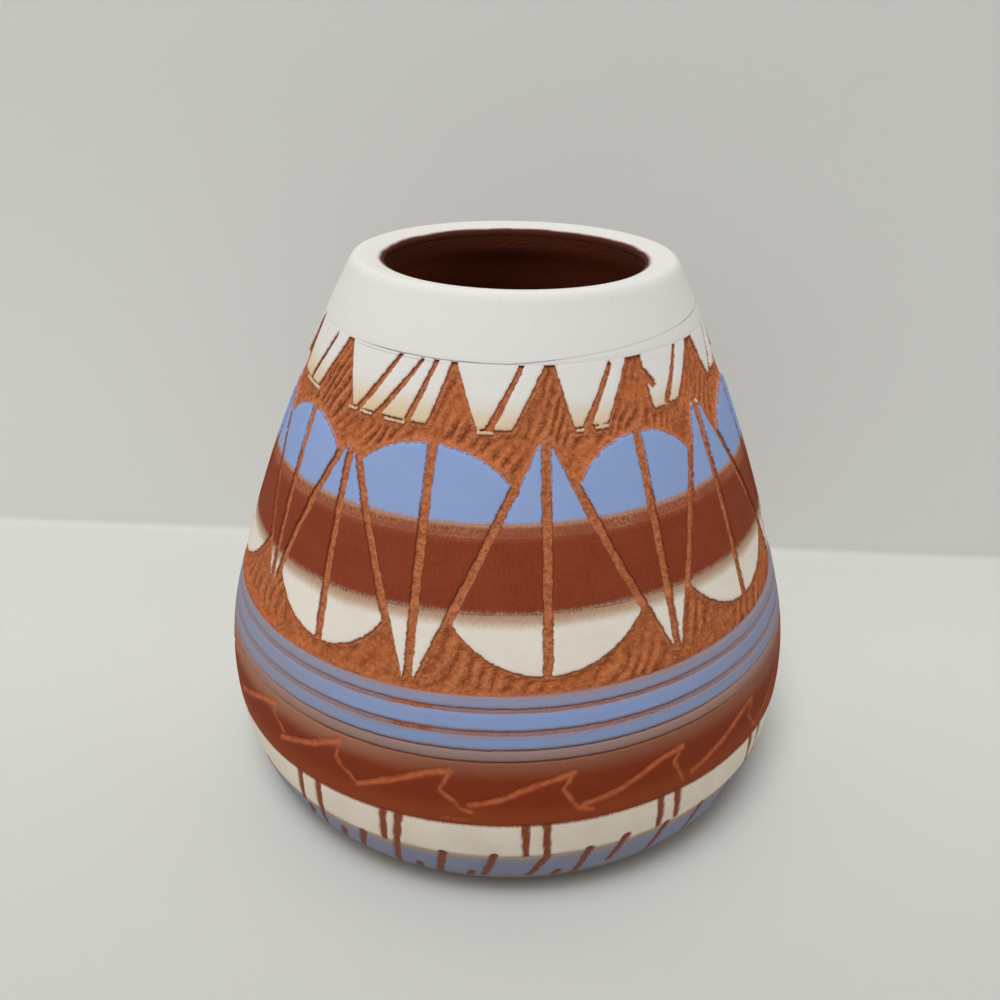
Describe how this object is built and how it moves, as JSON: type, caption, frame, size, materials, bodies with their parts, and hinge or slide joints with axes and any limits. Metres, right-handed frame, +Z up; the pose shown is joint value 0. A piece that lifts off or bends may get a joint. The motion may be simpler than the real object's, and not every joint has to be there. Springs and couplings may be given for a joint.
{
  "type": "pottery vase",
  "caption": "Squat round red clay vase with a rounded lip and a low belly, cream, blue and red-brown slip carved through to the clay in teeth, cones, stripes, zigzag and bars.",
  "frame": {"origin": "centre of the flat base, on the surface that the vase stands on", "axes": "+Z up the vase's axis of turning; the pattern's front faces -Y"},
  "size_m": [0.102, 0.102, 0.093],
  "materials": {
    "clay": "bare fired red clay, matte",
    "cream_slip": "matte slip",
    "blue_slip": "matte slip",
    "red_slip": "matte slip",
    "grey_slip": "matte slip"
  },
  "bodies": {
    "root": {"clay_body": "clay", "cream_collar": "cream_slip", "fringe_panels": "cream_slip", "blue_panels": "blue_slip", "red_panels": "red_slip", "cream_panels": "cream_slip", "upper_blue_stripe": "blue_slip", "middle_blue_stripe": "blue_slip", "lower_blue_stripe": "blue_slip", "grey_stripe": "grey_slip", "wave_band": "red_slip", "bar_band": "cream_slip", "foot_band": "blue_slip"}
  },
  "joints": []
}
